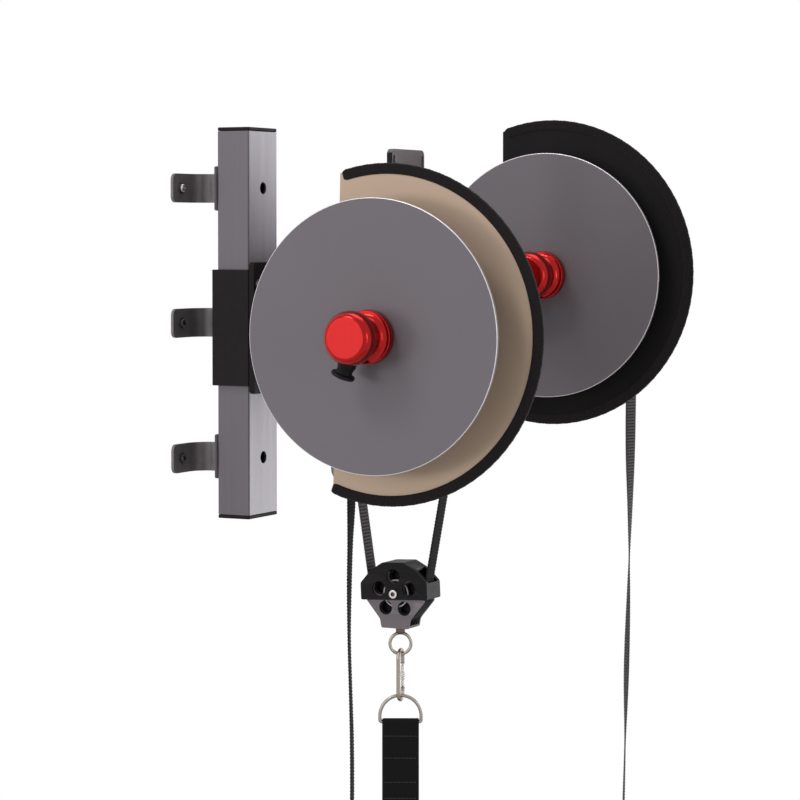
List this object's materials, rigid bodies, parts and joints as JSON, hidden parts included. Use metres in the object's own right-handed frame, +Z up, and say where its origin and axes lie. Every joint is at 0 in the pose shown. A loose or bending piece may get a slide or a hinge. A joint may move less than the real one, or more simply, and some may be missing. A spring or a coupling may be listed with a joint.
{
  "type": "flywheel trainer",
  "caption": "Wall-mounted flywheel trainer: a sliding carriage carries parallel flywheel heads with guards, a strap pulley block and a webbing hand loop.",
  "frame": {"origin": "on the wall plane, behind the middle of the post, where the wall holds the part", "axes": "+X out of the wall into the room, +Y along both flywheel shafts away from their knobs, +Z up"},
  "size_m": [0.6101, 0.9212, 1.0972],
  "materials": {
    "post": "brushed, extruded box tube",
    "black_plastic": "moulded black",
    "black_metal": "matte black",
    "bracket": "dark grey",
    "fastener": "zinc plated",
    "frame": "dark grey anodised",
    "sand_guard": "sand-coloured sheet",
    "black_guard": "black sheet",
    "trim": "pushed-on edge trim",
    "disc": "matte grey steel disc",
    "block_plate": "grey anodised",
    "red_knob": "glossy red anodised",
    "steel": "bright steel",
    "strap": "ribbed webbing",
    "webbing": "black webbing",
    "pad": "closed-cell foam"
  },
  "bodies": {
    "wall_rail": {"post_tube": "post", "post_cap_top": "black_plastic", "post_cap_bottom": "black_plastic", "wall_bracket_1": "bracket", "wall_bracket_2": "bracket", "wall_bracket_3": "bracket", "wall_screw_1_near": "fastener", "wall_screw_1_far": "fastener", "wall_screw_2_near": "fastener", "wall_screw_2_far": "fastener", "wall_screw_3_near": "fastener", "wall_screw_3_far": "fastener", "rail_bolt_1": "fastener", "rail_bolt_2": "fastener", "rail_bolt_3": "fastener"},
    "carriage": {"carriage_sleeve": "black_plastic", "carriage_plate": "black_metal", "head_arm": "frame", "cross_beam": "frame", "beam_cap": "black_plastic", "spine_plate": "frame", "far_back_plate": "frame", "near_head_frame": "frame", "far_head_frame": "frame", "near_housing": "frame", "far_housing": "frame", "near_guard": "sand_guard", "near_guard_trim": "trim", "far_guard": "black_guard", "far_guard_trim": "trim", "lock_hanger": "frame", "lock_bar": "steel", "strap_fold": "strap", "strap_run_right": "strap", "strap_run_left": "strap", "near_strap_tail": "strap", "far_strap": "strap"},
    "clamp": {"clamp_knob": "black_plastic"},
    "near_flywheel": {"near_disc": "disc", "near_knob": "red_knob", "near_shaft": "steel", "near_strap_coil": "strap"},
    "near_pin": {"near_plunger": "black_plastic"},
    "far_flywheel": {"far_disc": "disc", "far_knob": "red_knob", "far_shaft": "steel", "far_strap_coil": "strap"},
    "far_pin": {"far_plunger": "black_plastic"},
    "pulley_block": {"pulley_cover": "black_plastic", "pulley_frame": "block_plate", "pulley_axle": "fastener", "strap_bend": "strap"},
    "sheave": {"pulley_sheave": "black_plastic"},
    "swivel": {"swivel_eye": "steel"},
    "hook": {"snap_hook": "steel"},
    "gate": {"hook_gate": "steel"},
    "handle": {"d_ring": "steel", "hand_loop": "webbing", "grip_sleeve": "pad"},
    "cam": {"cam_lever": "black_plastic"}
  },
  "joints": [
    {"name": "carriage_slide", "type": "slide", "parent": "wall_rail", "child": "carriage", "axis": [0, 0, 1], "range_m": [-0.16, 0.17]},
    {"name": "clamp_turn", "type": "hinge", "parent": "carriage", "child": "clamp", "pos_m": [0.071, 0.0556, -0.006], "axis": [0, 1, 0], "range_deg": [0, 720]},
    {"name": "near_flywheel_spin", "type": "hinge", "parent": "carriage", "child": "near_flywheel", "pos_m": [0.3941, 0, -0.0058], "axis": [0, 1, 0], "range_deg": [-500, 500]},
    {"name": "near_pin_pull", "type": "slide", "parent": "near_flywheel", "child": "near_pin", "axis": [-0.3907, 0, -0.9205], "range_m": [0, 0.005], "stiffness_N_per_m": 800},
    {"name": "far_flywheel_spin", "type": "hinge", "parent": "carriage", "child": "far_flywheel", "pos_m": [0.3941, 0.5442, 0.0639], "axis": [0, 1, 0], "continuous": true},
    {"name": "far_pin_pull", "type": "slide", "parent": "far_flywheel", "child": "far_pin", "axis": [-0.3907, 0, -0.9205], "range_m": [0, 0.005], "stiffness_N_per_m": 800},
    {"name": "pulley_travel", "type": "slide", "parent": "carriage", "child": "pulley_block", "axis": [0, 0, -1], "range_m": [-0.09, 0.09], "deforming": ["strap_run_right", "strap_run_left"]},
    {"name": "sheave_spin", "type": "hinge", "parent": "pulley_block", "child": "sheave", "pos_m": [0.3091, 0, -0.3628], "axis": [0, 1, 0], "range_deg": [-130, 130]},
    {"name": "swivel_turn", "type": "hinge", "parent": "pulley_block", "child": "swivel", "pos_m": [0.3091, 0, -0.4101], "axis": [0, 0, 1], "continuous": true},
    {"name": "hook_swing", "type": "hinge", "parent": "swivel", "child": "hook", "pos_m": [0.3091, 0, -0.44655], "axis": [0.8942, 0.4478, 0], "range_deg": [-20, 20]},
    {"name": "gate_swing", "type": "hinge", "parent": "hook", "child": "gate", "pos_m": [0.30417, 0.00984, -0.4646], "axis": [0.8942, 0.4478, 0], "range_deg": [-24, 0], "stiffness_Nm_per_rad": 0.05},
    {"name": "handle_swing", "type": "hinge", "parent": "hook", "child": "handle", "pos_m": [0.3091, 0, -0.50315], "axis": [0.8942, 0.4478, 0], "range_deg": [-20, 20]},
    {"name": "cam_swing", "type": "hinge", "parent": "carriage", "child": "cam", "pos_m": [0.22125, 0, -0.206], "axis": [0, 1, 0], "range_deg": [0, 60]}
  ],
  "couplings": [
    {"joint": "pulley_travel", "follows": "near_flywheel_spin", "m_per_rad": 0.01015},
    {"joint": "sheave_spin", "follows": "near_flywheel_spin", "ratio": 0.25827}
  ]
}
